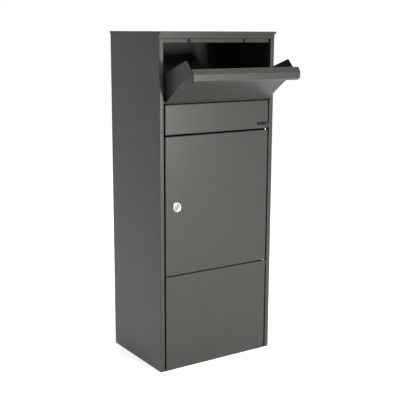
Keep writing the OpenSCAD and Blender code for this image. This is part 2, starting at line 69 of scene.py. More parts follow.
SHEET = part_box("back_panel")[1].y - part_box("back_panel")[0].y
HALF_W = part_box("back_panel")[1].x
SKIN = HALF_W - SHEET
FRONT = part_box("left_side_panel")[0].y
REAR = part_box("back_panel")[1].y
JAMB = -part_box("door_stop")[0].x
JAMB_DEPTH = 18 * MM
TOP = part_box("roof")[1].z
PANEL_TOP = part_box("back_panel")[1].z
RAIL_FACE_H = 19 * MM
RAIL_Z = PANEL_TOP - RAIL_FACE_H
FOLD = 0.6 * MM  # inside radius of a fold in the sheet
print("sheet", round(SHEET / MM, 2), "mm, half width", round(HALF_W / MM, 1), "mm")

# %% [markdown]
# ## Camera
# The box is seen from its left front, from about two and a half metres away at the height of
# the roof, through a long lens. That keeps the upright edges nearly parallel.

# %% Place the camera
def linked(name, data):
    """Makes an object of the given data and puts it in the scene."""
    made = bpy.data.objects.new(name, data)
    bpy.context.scene.collection.objects.link(made)
    return made


def add_camera(place, heading, tilt, roll, lens):
    data = bpy.data.cameras.new("camera")
    data.lens = lens
    data.sensor_width = 36
    camera = linked("camera", data)
    turn = (Matrix.Rotation(-math.radians(heading), 4, "Z")
            @ Matrix.Rotation(math.radians(90 - tilt), 4, "X")
            @ Matrix.Rotation(math.radians(roll), 4, "Z"))
    camera.matrix_world = Matrix.Translation(place) @ turn
    bpy.context.scene.camera = camera


add_camera(place=(-1.4232, -2.2192, 1.0337), heading=33.25, tilt=11.57, roll=0.24, lens=74.7)

# %% [markdown]
# ## Studio
# A product on white is lit by soft sources and a pale floor that throws light back up. A light in
# front gives the front its fall-off from left to right, a smaller and lower one puts a sheen on
# the coat, and a large one overhead lights the top. The studio is bright only behind the box and
# dimmer all round, so that the coat keeps its depth. The ground stays white because the floor
# glows slightly.

# %% Build the floor and the lights
def object_from(bm, name):
    mesh = bpy.data.meshes.new(name)
    bm.to_mesh(mesh)
    bm.free()
    return linked(name, mesh)


def add_floor(size):
    bm = bmesh.new()
    bmesh.ops.create_grid(bm, x_segments=1, y_segments=1, size=size / 2)
    floor = object_from(bm, "floor")
    return floor


def add_softbox(name, place, aim, size, power, colour=(1, 1, 1)):
    data = bpy.data.lights.new(name, "AREA")
    data.shape = "RECTANGLE"
    data.size, data.size_y = size
    data.energy, data.color = power, colour
    place = Vector(place)
    turn = (Vector(aim) - place).to_track_quat("-Z", "Y").to_matrix().to_4x4()
    linked(name, data).matrix_world = Matrix.Translation(place) @ turn


def add_studio(bright_side, wall, room, edge):
    """A world that is bright on one side, dimmer all round, and changes between two cosines."""
    world = bpy.data.worlds.new("studio")
    world.use_nodes = True
    nodes, links = world.node_tree.nodes, world.node_tree.links
    direction = nodes.new("ShaderNodeTexCoord")
    facing = nodes.new("ShaderNodeVectorMath")
    facing.operation = "DOT_PRODUCT"
    facing.inputs[1].default_value = Vector(bright_side).normalized()
    links.new(direction.outputs["Generated"], facing.inputs[0])
    strength = nodes.new("ShaderNodeMapRange")
    strength.interpolation_type = "SMOOTHSTEP"
    for key, value in (("From Min", edge[0]), ("From Max", edge[1]), ("To Min", room), ("To Max", wall)):
        strength.inputs[key].default_value = value
    links.new(facing.outputs["Value"], strength.inputs["Value"])
    background = nodes["Background"]
    background.inputs["Color"].default_value = (1, 1, 1, 1)
    links.new(strength.outputs["Result"], background.inputs["Strength"])
    bpy.context.scene.world = world


WARM = (1, 1, 0.93)
floor = add_floor(size=30)
add_studio(bright_side=(0.55, 0.83, 0), wall=1.0, room=0.32, edge=(0.3, 0.65))
add_softbox("front_softbox", place=(0.5, -2.6, 1.9), aim=(0, 0, 0.8), size=(0.7, 0.7), power=28, colour=WARM)
add_softbox("overhead_softbox", place=(0, -0.3, 3.6), aim=(0, 0, 0), size=(4, 4), power=75)
add_softbox("sheen_softbox", place=(0.62, -2.6, 0.66), aim=(0, 0, 0.9), size=(0.34, 0.3), power=50,
            colour=WARM)
bpy.context.scene.view_settings.view_transform = "Standard"

# %% [markdown]
# ## Shader sums
# A finish is a few patterns added and multiplied together. The small class below wraps a socket,
# so that `0.4 + 0.1 * cloud` adds the Math nodes by itself. Any other node is made by one method
# that takes its kind, its settings and what goes into its sockets.

# %% Define the graph helper
class Wire:
    """One output socket, which can be used in sums."""

    def __init__(self, graph, socket):
        self.graph, self.socket = graph, socket

    def sum(self, operation, *values):
        return self.graph.node("ShaderNodeMath", {"operation": operation}, values)

    def __add__(self, other): return self.sum("ADD", self, other)
    def __radd__(self, other): return self.sum("ADD", other, self)
    def __sub__(self, other): return self.sum("SUBTRACT", self, other)
    def __rsub__(self, other): return self.sum("SUBTRACT", other, self)
    def __mul__(self, other): return self.sum("MULTIPLY", self, other)
    def __rmul__(self, other): return self.sum("MULTIPLY", other, self)
    def __truediv__(self, other): return self.sum("DIVIDE", self, other)
    def __pow__(self, other): return self.sum("POWER", self, other)


class Graph:
    """A node tree, for a material or for geometry."""

    def __init__(self, tree):
        self.tree = tree

    def put(self, socket, value):
        if isinstance(value, Wire):
            self.tree.links.new(value.socket, socket)
        elif isinstance(value, list):
            for wire in value:
                self.put(socket, wire)
        else:
            socket.default_value = value

    def node(self, kind, settings=None, inputs=(), output=0):
        made = self.tree.nodes.new(kind)
        for name, value in (settings or {}).items():
            setattr(made, name, value)
        pairs = inputs.items() if isinstance(inputs, dict) else enumerate(inputs)
        for key, value in pairs:
            self.put(made.inputs[key], value)
        return Wire(self, made.outputs[output])


MIX_A, MIX_B, MIX_RESULT = 6, 7, 2  # the colour sockets of a Mix node


class Finish(Graph):
    """A material with one Principled shader."""

    def __init__(self, name, **constants):
        self.material = bpy.data.materials.new(name)
        self.material.use_nodes = True
        super().__init__(self.material.node_tree)
        self.shader = self.tree.nodes["Principled BSDF"]
        for key, value in constants.items():
            self.shader.inputs[key.replace("_", " ")].default_value = value
        self.place = self.node("ShaderNodeTexCoord", output="Object")

    def noise(self, size, detail=2.0, roughness=0.5, stretch=None):
        """Cloudy pattern from 0 to 1 whose blobs are about `size` across."""
        place = self.place
        if stretch:
            place = self.node("ShaderNodeMapping", {}, {"Vector": place, "Scale": stretch})
        return self.node("ShaderNodeTexNoise", {},
                         {"Vector": place, "Scale": 1 / size, "Detail": detail, "Roughness": roughness})

    def blend(self, amount, first, second):
        return self.node("ShaderNodeMix", {"data_type": "RGBA", "clamp_factor": True},
                         {0: amount, MIX_A: first, MIX_B: second}, MIX_RESULT)

    def between(self, value, low, high):
        """0 below low, 1 above high, and a smooth step in between."""
        return self.node("ShaderNodeMapRange", {"interpolation_type": "SMOOTHSTEP"},
                         {"Value": value, "From Min": low, "From Max": high})

    def bump(self, height, depth, strength=1.0):
        return self.node("ShaderNodeBump", {}, {"Height": height, "Distance": depth, "Strength": strength})

    def wear(self, **wires):
        for key, value in wires.items():
            self.put(self.shader.inputs[key.replace("_", " ")], value)
        return self.material


# %% [markdown]
# ## Powder coat
# The paint goes on as a dry powder and melts in an oven. It flows into a skin with two scales of
# relief: soft ripples about a millimetre across, like orange peel, and a finer grain. Its colour
# is a dark anthracite that drifts very slightly from place to place. Hands leave the coat a
# little smoother in scattered patches, and a floor-standing box picks up pale
# dust near the floor. Every pattern is read from the object's own coordinates, so the coat runs
# on across pieces as it would on one box.

# %% Mix the powder coat
def powder_coat(name, colour, gloss):
    coat = Finish(name, IOR=1.37, Metallic=0.0)
    peel = coat.noise(1.1 * MM, detail=2)
    grain = coat.noise(0.35 * MM, detail=3, roughness=0.6)
    drift = coat.noise(90 * MM, detail=3)
    speck = coat.noise(2.4 * MM, detail=4, roughness=0.7)
    handled = coat.noise(24 * MM, detail=4, roughness=0.65)
    height = coat.node("ShaderNodeSeparateXYZ", {}, [coat.place], "Z")
    settled = coat.noise(14 * MM, detail=5, roughness=0.65)
    dust = (1 - coat.between(height, 0.0, 40 * MM)) * coat.between(settled, 0.35, 0.8) * 0.04
    tone = 0.93 + 0.1 * drift + 0.05 * speck
    light = coat.node("ShaderNodeCombineColor", {}, [tone, tone, tone])
    tinted = coat.node("ShaderNodeMix", {"data_type": "RGBA", "blend_type": "MULTIPLY"},
                       {0: 1.0, MIX_A: (*colour, 1), MIX_B: light}, MIX_RESULT)
    dusty = coat.blend(dust, tinted, (0.34, 0.33, 0.31, 1))
    rough = gloss + 0.07 * (speck - 0.5) - 0.05 * coat.between(handled, 0.5, 0.75) + 0.3 * dust
    relief = coat.bump(0.7 * peel + 0.3 * grain, 0.06 * MM, strength=0.5)
    return coat.wear(Base_Color=dusty, Roughness=rough, Normal=relief)


COAT = powder_coat("anthracite_coat", colour=(0.034, 0.034, 0.0315), gloss=0.36)

# %% [markdown]
# ## Bright metals
# The lock's rose, barrel, plug and nut and the door's pins and washer are nickel-plated and turned
# on a lathe, which leaves rings too fine to count. The screws, the rivets, the roof's nuts and the
# cam are zinc-plated, duller, and clouded in small crystals. The hatch's pins are coated.

# %% Mix the metals
def turned_nickel(name, colour, centre):
    metal = Finish(name, Metallic=1.0)
    parts = [metal.node("ShaderNodeSeparateXYZ", {}, [metal.place], axis) for axis in "XZ"]
    across, up = parts[0] - centre.x, parts[1] - centre.z
    radius = (across * across + up * up) ** 0.5
    rings = metal.node("ShaderNodeTexNoise", {"noise_dimensions": "1D"},
                       {"W": radius, "Scale": 1 / (0.25 * MM), "Detail": 3.0})
    smear = metal.noise(5 * MM, detail=4, roughness=0.6)
    plated = metal.blend(smear * 0.5, (*colour, 1), (*[0.86 * c for c in colour], 1))
    return metal.wear(Base_Color=plated, Roughness=0.16 + 0.16 * smear + 0.08 * rings,
                      Normal=metal.bump(rings, 0.012 * MM, strength=0.4))


def zinc_plate(name, colour):
    metal = Finish(name, Metallic=1.0)
    crystal = metal.node("ShaderNodeTexVoronoi", {},
                         {"Vector": metal.place, "Scale": 1 / (0.9 * MM)}, "Color")
    shade = metal.node("ShaderNodeSeparateColor", {}, [crystal], 0)
    stain = metal.noise(3 * MM, detail=4)
    plated = metal.blend(0.35 * shade + 0.3 * stain, (*colour, 1), (*[0.7 * c for c in colour], 1))
    return metal.wear(Base_Color=plated, Roughness=0.3 + 0.2 * stain,
                      Normal=metal.bump(shade, 0.01 * MM, strength=0.3))


NICKEL = turned_nickel("satin_nickel", (0.32, 0.32, 0.29), PIVOT["lock_turn"])
ZINC = zinc_plate("zinc_plate", (0.62, 0.63, 0.64))

# %% [markdown]
# ## Rubber, nylon and the blank badge
# The buffers and pads are moulded rubber, matt and slightly bloomed. The bushes and spacers are
# black nylon, smooth and waxy. The small plate on the upper front is dark anodised aluminium
# with a brushed face. It carries no name.

# %% Mix the small finishes
def rubber(name):
    skin = Finish(name, IOR=1.5)
    bloom = skin.noise(6 * MM, detail=4, roughness=0.65)
    grain = skin.noise(0.3 * MM, detail=2)
    colour = skin.blend(0.5 * bloom, (0.012, 0.012, 0.012, 1), (0.045, 0.045, 0.044, 1))
    return skin.wear(Base_Color=colour, Roughness=0.68 + 0.2 * bloom,
                     Normal=skin.bump(grain, 0.03 * MM, strength=0.5))


def nylon(name):
    plastic = Finish(name, IOR=1.53)
    cloud = plastic.noise(4 * MM, detail=3)
    colour = plastic.blend(cloud, (0.018, 0.018, 0.018, 1), (0.03, 0.03, 0.029, 1))
    return plastic.wear(Base_Color=colour, Roughness=0.38 + 0.15 * cloud,
                        Normal=plastic.bump(cloud, 0.02 * MM, strength=0.4))


def anodised(name):
    metal = Finish(name, Metallic=0.9)
    brush = metal.noise(1 * MM, detail=3, stretch=(0.04, 1, 8))
    colour = metal.blend(brush, (0.006, 0.006, 0.007, 1), (0.02, 0.02, 0.022, 1))
    return metal.wear(Base_Color=colour, Roughness=0.34 + 0.2 * brush,
                      Normal=metal.bump(brush, 0.01 * MM, strength=0.3))


RUBBER, NYLON, BADGE = rubber("rubber"), nylon("nylon"), anodised("anodised_badge")

floor_paint = Finish("floor_paint", Roughness=0.6, Emission_Color=(1, 1, 1, 1), Emission_Strength=0.55)
floor.data.materials.append(floor_paint.wear(Base_Color=floor_paint.blend(
    floor_paint.noise(1.5), (0.86, 0.86, 0.86, 1), (0.88, 0.88, 0.88, 1))))

# %% [markdown]
# ## From points to a finished piece
# Every piece ends the same way. Its doubled points are merged, its faces are turned outwards,
# its cut edges are eased by a small Bevel, and it takes the place of its CAD node on the same body.

# %% Define how a piece is finished
def piece_from(bm, name, material):
    bmesh.ops.remove_doubles(bm, verts=bm.verts, dist=0.002 * MM)
    bmesh.ops.recalc_face_normals(bm, faces=bm.faces)
    piece = object_from(bm, name)
    piece.data.materials.append(material)
    return piece


def fit(piece, node, ease=0.2 * MM, sharp=35):
    """Eases a piece's cut edges and puts it in the place of its CAD node."""
    mesh = piece.data
    mesh.polygons.foreach_set("use_smooth", [True] * len(mesh.polygons))
    mesh.set_sharp_from_angle(angle=math.radians(sharp))
    if ease:
        bevel = piece.modifiers.new("eased_edges", "BEVEL")
        bevel.width, bevel.segments = ease, 2
        bevel.limit_method, bevel.angle_limit = "ANGLE", math.radians(sharp)
        bevel.use_clamp_overlap = False
        piece.modifiers.new("flat_faces", "WEIGHTED_NORMAL").keep_sharp = True
    piece.name = "finished_" + node
    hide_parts(node)
    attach(piece, BODY_OF[node])
    print(f"{piece.name}: {len(mesh.polygons)} faces, rides on {BODY_OF[node]}")
    return piece


# %% [markdown]
# ## Folded sections
# A press folds the sheet along straight lines, so a folded part is one cross-section pushed along
# a line. The section starts as a path of corners. Each corner becomes two arcs about one centre,
# a tight one on the inside of the fold and a wider one on the outside, which keeps the sheet
# equally thick all round. The sheet lies to the left of the path.

# %% Draw and extrude a folded section
ARC_STEPS = 6


def folded_outline(path, thick=SHEET, inside=FOLD):
    path = [Vector(p) for p in path]
    ways = [(b - a).normalized() for a, b in zip(path, path[1:])]
    left = [Vector((-w.y, w.x)) for w in ways]
    face, back = [path[0]], [path[0] + thick * left[0]]
    for corner, w0, w1, n0, n1 in zip(path[1:], ways, ways[1:], left, left[1:]):
        bend = w0.angle_signed(w1) * -1  # positive when the path turns left
        radius = inside + thick if bend > 0 else inside
        side = 1 if bend > 0 else -1
        set_back = radius * math.tan(abs(bend) / 2)
        centre = corner - set_back * w0 + side * radius * n0
        for step in range(ARC_STEPS + 1):
            normal = n0.copy()
            normal.rotate(Matrix.Rotation(bend * step / ARC_STEPS, 2))
            face.append(centre - side * radius * normal)
            back.append(face[-1] + thick * normal)
    face.append(path[-1])
    back.append(path[-1] + thick * left[-1])
    return face + back[::-1]


AXES = {"X": lambda along, u, v: (along, u, v),
        "Y": lambda along, u, v: (u, along, v),
        "Z": lambda along, u, v: (u, v, along)}


def band(bm, lower, upper):
    """Makes the faces between two rings of points."""
    for i in range(len(lower)):
        j = (i + 1) % len(lower)
        bm.faces.new([lower[i], lower[j], upper[j], upper[i]])


def extruded(bm, outline, axis, start, end):
    """Pushes a flat outline along an axis and closes both ends."""
    lower, upper = [[bm.verts.new(AXES[axis](along, u, v)) for u, v in outline] for along in (start, end)]
    band(bm, lower, upper)
    bm.faces.new(lower[::-1])
    bm.faces.new(upper)
    return bm


# %% [markdown]
# ## Cutting holes and notches
# A laser cuts the openings before the sheet is folded. Here the folded piece is finished first and
# a Boolean takes the openings out of it, because that keeps each piece's own code short. The
# result is turned into a plain mesh at once.

# %% Define the cutters
def add_block(bm, low, high):
    made = bmesh.ops.create_cube(bm, size=1)["verts"]
    for vert in made:
        vert.co = Vector(min(a, b) + (side + 0.5) * abs(b - a) for side, a, b in zip(vert.co, low, high))


def add_rod(bm, axis, centre, radius, start, end, sides=32):
    circle = [(centre[0] + radius * math.cos(a), centre[1] + radius * math.sin(a))
              for a in (2 * math.pi * k / sides for k in range(sides))]
    extruded(bm, circle, axis, start, end)


def plain(piece):
    """Turns a piece and its modifiers into a plain mesh."""
    done = bpy.data.meshes.new_from_object(piece.evaluated_get(bpy.context.evaluated_depsgraph_get()))
    piece.modifiers.clear()
    piece.data = done
    return piece


def combined(piece, draw, operation):
    bm = bmesh.new()
    draw(bm)
    other = piece_from(bm, "other", piece.data.materials[0])
    step = piece.modifiers.new("combined", "BOOLEAN")
    step.object, step.operation, step.solver, step.use_self = other, operation, "EXACT", True
    plain(piece)
    bpy.data.objects.remove(other)
    return piece


def carved(piece, draw_cutters):
    return combined(piece, draw_cutters, "DIFFERENCE")


# %% [markdown]
# ## Side panels
# Each side is one long sheet. Its front edge is folded in twice, which makes the narrow front
# strip and the jamb that the door closes against, and its rear edge is folded once to carry the
# back. Above the strip the top rail lies over the sheet's edge, so there the fold is cut away.

# %% Fold the side panels
SIDE_FLANGE = 16 * MM
FLANGE_MID = SKIN - SIDE_FLANGE / 2
FLANGE_HALF = 130 * MM  # half the length of the top and bottom flanges


def add_to(piece, draw):
    """Adds closed solids to a piece, face to face."""
    bm = bmesh.new()
    bm.from_mesh(piece.data)
    draw(bm)
    bmesh.ops.recalc_face_normals(bm, faces=bm.faces)
    bm.to_mesh(piece.data)
    bm.free()


def side_panel(node, side):
    jamb_back = FRONT + JAMB_DEPTH
    path = [(JAMB, jamb_back), (JAMB, FRONT), (HALF_W, FRONT), (HALF_W, REAR - SHEET),
            (SKIN - SIDE_FLANGE, REAR - SHEET)]
    outline = [(side * p.x, p.y) for p in folded_outline(path)]
    piece = piece_from(extruded(bmesh.new(), outline, "Z", 0, PANEL_TOP), node, COAT)

    def head_cut(bm):
        add_block(bm, (side * (JAMB - MM), FRONT - MM, RAIL_Z), (side * (HALF_W + MM), FRONT + SHEET, TOP))
        add_block(bm, (side * (JAMB - MM), FRONT, RAIL_Z), (side * SKIN, jamb_back + MM, TOP))

    def flanges(bm):
        for z in (SHEET, PANEL_TOP - SHEET):
            add_block(bm, (side * (SKIN - SIDE_FLANGE), -FLANGE_HALF, z),
                      (side * SKIN, FLANGE_HALF, z + SHEET))

    add_to(carved(piece, head_cut), flanges)
    return fit(piece, node)


side_panel("left_side_panel", -1)
side_panel("right_side_panel", 1)

# %% [markdown]
# ## Fronts and roof
# The door and the two fixed fronts are shallow pans, a face with its edges folded back. So is the
# roof, turned face up. A pan is drawn as rings of a rounded rectangle that turn over the edge,
# and a Solidify modifier gives it the sheet's thickness on the inside.

# %% Press the pans
CORNER_STEPS = 5
PAN_CORNER = 2.3 * MM
LEAST_RADIUS = 0.05 * MM


def rounded_ring(low, high, inset, radius):
    """Corner points of a rectangle, drawn in by inset, with its corners rounded."""
    radius = max(radius - inset, LEAST_RADIUS)
    ring = []
    for quarter, corner in enumerate(((1, 1), (0, 1), (0, 0), (1, 0))):
        centre = [(high if c else low)[i] - (1 if c else -1) * (inset + radius)
                  for i, c in enumerate(corner)]
        for step in range(CORNER_STEPS + 1):
            angle = math.pi / 2 * (quarter + step / CORNER_STEPS)
            ring.append((centre[0] + radius * math.cos(angle), centre[1] + radius * math.sin(angle)))
    return ring


def pan(node, low, high, face, rim, to_space):
    """A pan whose face lies at height `face` and whose folded edges reach down to height `rim`."""
    bend = FOLD + SHEET
    down = 1 if face > rim else -1
    rings = [(rounded_ring(low, high, 0, PAN_CORNER), rim)]
    for step in range(ARC_STEPS + 1):
        angle = math.pi / 2 * step / ARC_STEPS
        rings.append((rounded_ring(low, high, bend * (1 - math.cos(angle)), PAN_CORNER),
                      face - down * bend * (1 - math.sin(angle))))
    bm = bmesh.new()
    rows = [[bm.verts.new(to_space(u, v, height)) for u, v in ring] for ring, height in rings]
    for lower, upper in zip(rows, rows[1:]):
        band(bm, lower, upper)
    bm.faces.new(rows[-1])
    piece = piece_from(bm, node, COAT)
    middle = sum((Vector(v.co) for v in piece.data.vertices), Vector()) / len(piece.data.vertices)
    face_polygon = max(piece.data.polygons, key=lambda polygon: polygon.area)
    if face_polygon.normal.dot(face_polygon.center - middle) < 0:
        piece.data.flip_normals()
    wall = piece.modifiers.new("sheet", "SOLIDIFY")
    wall.thickness, wall.offset, wall.use_even_offset = SHEET, -1, True
    return plain(piece)


def front_pan(node, z0=None):
    low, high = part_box(node)
    return pan(node, (low.x, low.z if z0 is None else z0), (high.x, high.z), -low.y, -high.y,
               lambda x, z, out: (x, -out, z))


# %% [markdown]
# ### The roof
# The roof drops over the side panels like a lid. Six studs welded under it take the nuts.

# %% Make the roof
roof_low, roof_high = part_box("roof")
ROOF_RIM, STUD_R, STUD_LEN = 8 * MM, 2.5 * MM, 9 * MM
STUD_PLACES = [(side * FLANGE_MID, y * MM) for side in (-1, 1) for y in (-100, 0, 100)]


def studs(bm):
    for place in STUD_PLACES:
        add_rod(bm, "Z", place, STUD_R, PANEL_TOP - STUD_LEN, PANEL_TOP)


roof = pan("roof", roof_low.xy, roof_high.xy, TOP, TOP - ROOF_RIM, lambda x, y, z: (x, y, z))
add_to(roof, studs)
fit(roof, "roof")

# %% [markdown]
# ### The fixed fronts
# The lower front stands on the floor, so it has no bottom fold. The side folds of both fronts
# stop short of the corners, where the hinge brackets and the angles need the room.

# %% Make the fixed fronts
CORNER_GAP, RAIL_GAP = 20 * MM, 12 * MM  # how far the side folds stop short of the corners


def fixed_front(node, side_range, has_low_fold, pin_hole_radius):
    low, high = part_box(node)
    piece = front_pan(node, z0=None if has_low_fold else low.z - CORNER_GAP)
    behind = low.y + SHEET + FOLD
    pin = PIVOT["door_hinge"]
    fold_z = low.z if has_low_fold else high.z

    def cuts(bm):
        if not has_low_fold:
            below = low.z - CORNER_GAP - 10 * MM
            add_block(bm, (low.x - MM, low.y - MM, below), (high.x + MM, high.y + MM, low.z))
        for side in (-1, 1):
            edge, past = side * (high.x - SHEET - FOLD), side * (high.x + MM)
            ends = [(low.z + (SHEET + FOLD if has_low_fold else -MM), side_range[0]),
                    (side_range[1], high.z - SHEET - FOLD)]
            for z0, z1 in ends:
                add_block(bm, (edge, behind, z0), (past, high.y + MM, z1))
        add_rod(bm, "Z", pin.xy, pin_hole_radius, fold_z - 4 * MM, fold_z + 4 * MM)

    return fit(carved(piece, cuts), node)


upper_low, upper_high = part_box("upper_front_panel")
lower_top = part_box("lower_front_panel")[1].z
fixed_front("upper_front_panel", side_range=(upper_low.z + CORNER_GAP, upper_high.z - RAIL_GAP),
            has_low_fold=True, pin_hole_radius=4 * MM)
fixed_front("lower_front_panel", side_range=(SHEET + CORNER_GAP, lower_top - CORNER_GAP),
            has_low_fold=False, pin_hole_radius=3.05 * MM)

# %% [markdown]
# ### The door
# The door's pan is folded on all four edges, which keeps the large face flat. It has one round
# hole for the lock, and a hole in its top and bottom folds for the bushes that turn on the pins.

# %% Make the door
door_low, door_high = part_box("door_panel")
LOCK = PIVOT["lock_turn"]
BARREL_R = 9 * MM
DOOR_BUSH_R = 4.3 * MM


def door_holes(bm):
    add_rod(bm, "Y", (LOCK.x, LOCK.z), BARREL_R, door_low.y - MM, door_low.y + 3 * MM, sides=64)
    for z in (door_low.z, door_high.z):
        add_rod(bm, "Z", PIVOT["door_hinge"].xy, DOOR_BUSH_R, z - 3 * MM, z + 3 * MM)


fit(carved(front_pan("door_panel"), door_holes), "door_panel")

# %% [markdown]
# ## Top rail
# Above the hatch one strip is folded five times. Its face lies under the roof's edge. Then it
# steps back and drops down to the flange that the shut hatch lands on, and a last fold keeps
# that edge stiff. The drop is narrower than the face, because it hangs between the jambs.

# %% Fold the top rail
RAIL_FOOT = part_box("top_rail")[0].z
BUFFER_REACH = 5.8 * MM  # how far the hatch's buffers stand out from the drop
DROP_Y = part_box("hatch_buffers")[0].y + BUFFER_REACH
RAIL_FLANGE, RAIL_HEM = 15 * MM, 9 * MM

rail_path = [(FRONT + RAIL_FLANGE, PANEL_TOP), (FRONT, PANEL_TOP), (FRONT, RAIL_Z), (DROP_Y, RAIL_Z),
             (DROP_Y, RAIL_FOOT), (DROP_Y + RAIL_HEM, RAIL_FOOT)]
rail_solid = extruded(bmesh.new(), folded_outline(rail_path), "X", -HALF_W, HALF_W)
top_rail = piece_from(rail_solid, "top_rail", COAT)


def rail_cuts(bm):
    for side in (-1, 1):
        add_block(bm, (side * SKIN, FRONT + SHEET, RAIL_FOOT - MM), (side * (HALF_W + MM), 0, TOP))
        add_block(bm, (side * (JAMB - 0.5 * MM), FRONT + SHEET, RAIL_FOOT - MM),
                  (side * (HALF_W + MM), 0, RAIL_Z - 0.01 * MM))


fit(carved(top_rail, rail_cuts), "top_rail")

# %% [markdown]
# ## Angles, ledges and the door stop
# Inside, short angles spot-welded to the jambs carry the fixed fronts, two ledges carry the
# compartment's floor, and a long angle behind the door's free edge stops it. All are one fold.

# %% Fold the angles
ANGLE_W, LEDGE_W = 21 * MM, 20 * MM
STOP_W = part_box("door_stop")[1].x + JAMB


def angles(node, edge, width, sides=(-1, 1), axis="Z"):
    """An angle on each side asked for: one leg lies on the edge and the other reaches inwards."""
    low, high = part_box(node)
    foot, head, start, end = (low.y, high.y, low.z, high.z) if axis == "Z" else (low.z, high.z, low.y, high.y)
    outline = folded_outline([(-edge + width, head), (-edge, head), (-edge, foot)])
    bm = bmesh.new()
    for side in sides:
        extruded(bm, [(-side * u, v) for u, v in outline], axis, start, end)
    fit(piece_from(bm, node, COAT), node)


angles("upper_panel_angles", JAMB, ANGLE_W)
angles("lower_panel_angles", JAMB, ANGLE_W)
angles("door_stop", JAMB, STOP_W, sides=(-1,))
angles("floor_supports", SKIN, LEDGE_W, axis="Y")

# %% [markdown]
# ## Plates, pads and pins taken from the CAD
# For small solids the CAD shape is already right. A copy is merged, its flat triangles are joined
# into whole faces, and a Bevel eases the edges: a little on sheet and steel, more on moulded
# rubber and nylon.

# %% Finish the small solids
def softened(node, material, ease):
    bm = bmesh.new()
    bm.from_mesh(frame["nodes"][node].data)
    bmesh.ops.remove_doubles(bm, verts=bm.verts, dist=0.01 * MM)
    bmesh.ops.dissolve_limit(bm, angle_limit=math.radians(1), verts=bm.verts, edges=bm.edges)
    return fit(piece_from(bm, node, material), node, ease)


for node, material, ease in [
        ("back_panel", COAT, 0.2), ("base_plate", COAT, 0.2), ("compartment_floor", COAT, 0.2),
        ("door_brackets", COAT, 0.4), ("door_hinge_plates", COAT, 0.4), ("tray_stops", COAT, 0.3),
        ("door_pins", NICKEL, 0.5), ("door_washer", NICKEL, 0.3),
        ("door_bumpers", RUBBER, 0.5), ("tray_pads", RUBBER, 0.8), ("hatch_buffers", RUBBER, 0.8),
        ("hatch_spacers", NYLON, 0.4), ("hatch_bushes", NYLON, 0.3), ("door_bushes", NYLON, 0.2),
        ("badge_plate", BADGE, 0.15)]:
    softened(node, material, ease * MM)

# %% [markdown]
# ## The rolled hatch panel
# The hatch's lower edge is rolled into a tube that turns on the pins. That is a rule: every
# point of the flat sheet that lies past the hinge line moves onto a circle by its distance from
# the line. Geometry Nodes can say exactly this, so the panel is a flat grid that a Set Position
# node rolls up, and a Solidify modifier gives it thickness.

# %% Define a geometry recipe
SOCKET_KINDS = {float: "NodeSocketFloat", int: "NodeSocketInt", tuple: "NodeSocketVector",
                bpy.types.Material: "NodeSocketMaterial"}


class Recipe(Graph):
    """A geometry node tree with named inputs."""

    def __init__(self, name, **inputs):
        super().__init__(bpy.data.node_groups.new(name, "GeometryNodeTree"))
        self.inputs, self.keys = inputs, {}
        face = self.tree.interface
        face.new_socket("Geometry", in_out="INPUT", socket_type="NodeSocketGeometry")
        face.new_socket("Geometry", in_out="OUTPUT", socket_type="NodeSocketGeometry")
        for key, value in inputs.items():
            made = face.new_socket(key.replace("_", " "), in_out="INPUT",
                                   socket_type=SOCKET_KINDS[type(value)])
            self.keys[key] = made.identifier
        self.group_input = self.tree.nodes.new("NodeGroupInput")
        self.points = Wire(self, self.group_input.outputs["Geometry"])

    def size(self, key):
        return Wire(self, self.group_input.outputs[key.replace("_", " ")])

    def vector(self, x, y, z):
        return self.node("ShaderNodeCombineXYZ", {}, [x, y, z])

    def moved(self, geometry, **how):
        return self.node("GeometryNodeTransform", {},
                         {"Geometry": geometry, **{key.title(): value for key, value in how.items()}})

    def lifted(self, geometry, height):
        return self.moved(geometry, translation=self.vector(0.0, 0.0, height))

    def cylinder(self, sides, radius, depth):
        return self.node("GeometryNodeMeshCylinder", {},
                         {"Vertices": sides, "Radius": radius, "Depth": depth})

    def joined(self, *parts):
        join = self.tree.nodes.new("GeometryNodeJoinGeometry")
        for part in parts:
            self.tree.links.new(part.socket, join.inputs[0])
        return Wire(self, join.outputs[0])

    def close(self, geometry):
        real = self.node("GeometryNodeRealizeInstances", {}, [geometry])
        done = self.node("GeometryNodeSetMaterial", {}, {"Geometry": real, "Material": self.size("finish")})
        output = self.tree.nodes.new("NodeGroupOutput")
        self.tree.links.new(done.socket, output.inputs[0])

    def make(self, name, places=((0, 0, 0),)):
        """Runs the tree on the given points and returns a plain piece."""
        bm = bmesh.new()
        for place in places:
            bm.verts.new(place)
        piece = object_from(bm, name)
        modifier = piece.modifiers.new(name, "NODES")
        modifier.node_group = self.tree
        for key, value in self.inputs.items():
            modifier[self.keys[key]] = value
        plain(piece).data.materials.clear()
        piece.data.materials.append(self.inputs["finish"])
        piece.data.polygons.foreach_set("material_index", [0] * len(piece.data.polygons))
        return piece


# %% Roll the hatch panel
HATCH_HALF = 187.5 * MM
CHEEK_IN = 180 * MM
CHEEK_OUT = CHEEK_IN + SHEET
KNUCKLE_R = PIVOT["hatch_hinge"].y - FRONT
KNUCKLE_TURN, KNUCKLE_ROWS = math.radians(318), 150
KNUCKLE_CUT = 9 * MM  # reaches past the roll from the hinge line
PANEL_H = 178.5 * MM
PANEL_BACK = -KNUCKLE_R + SHEET
SHUT = Matrix.Translation(PIVOT["hatch_hinge"]) @ Matrix.Rotation(TURN["hatch_hinge"], 4, "X")


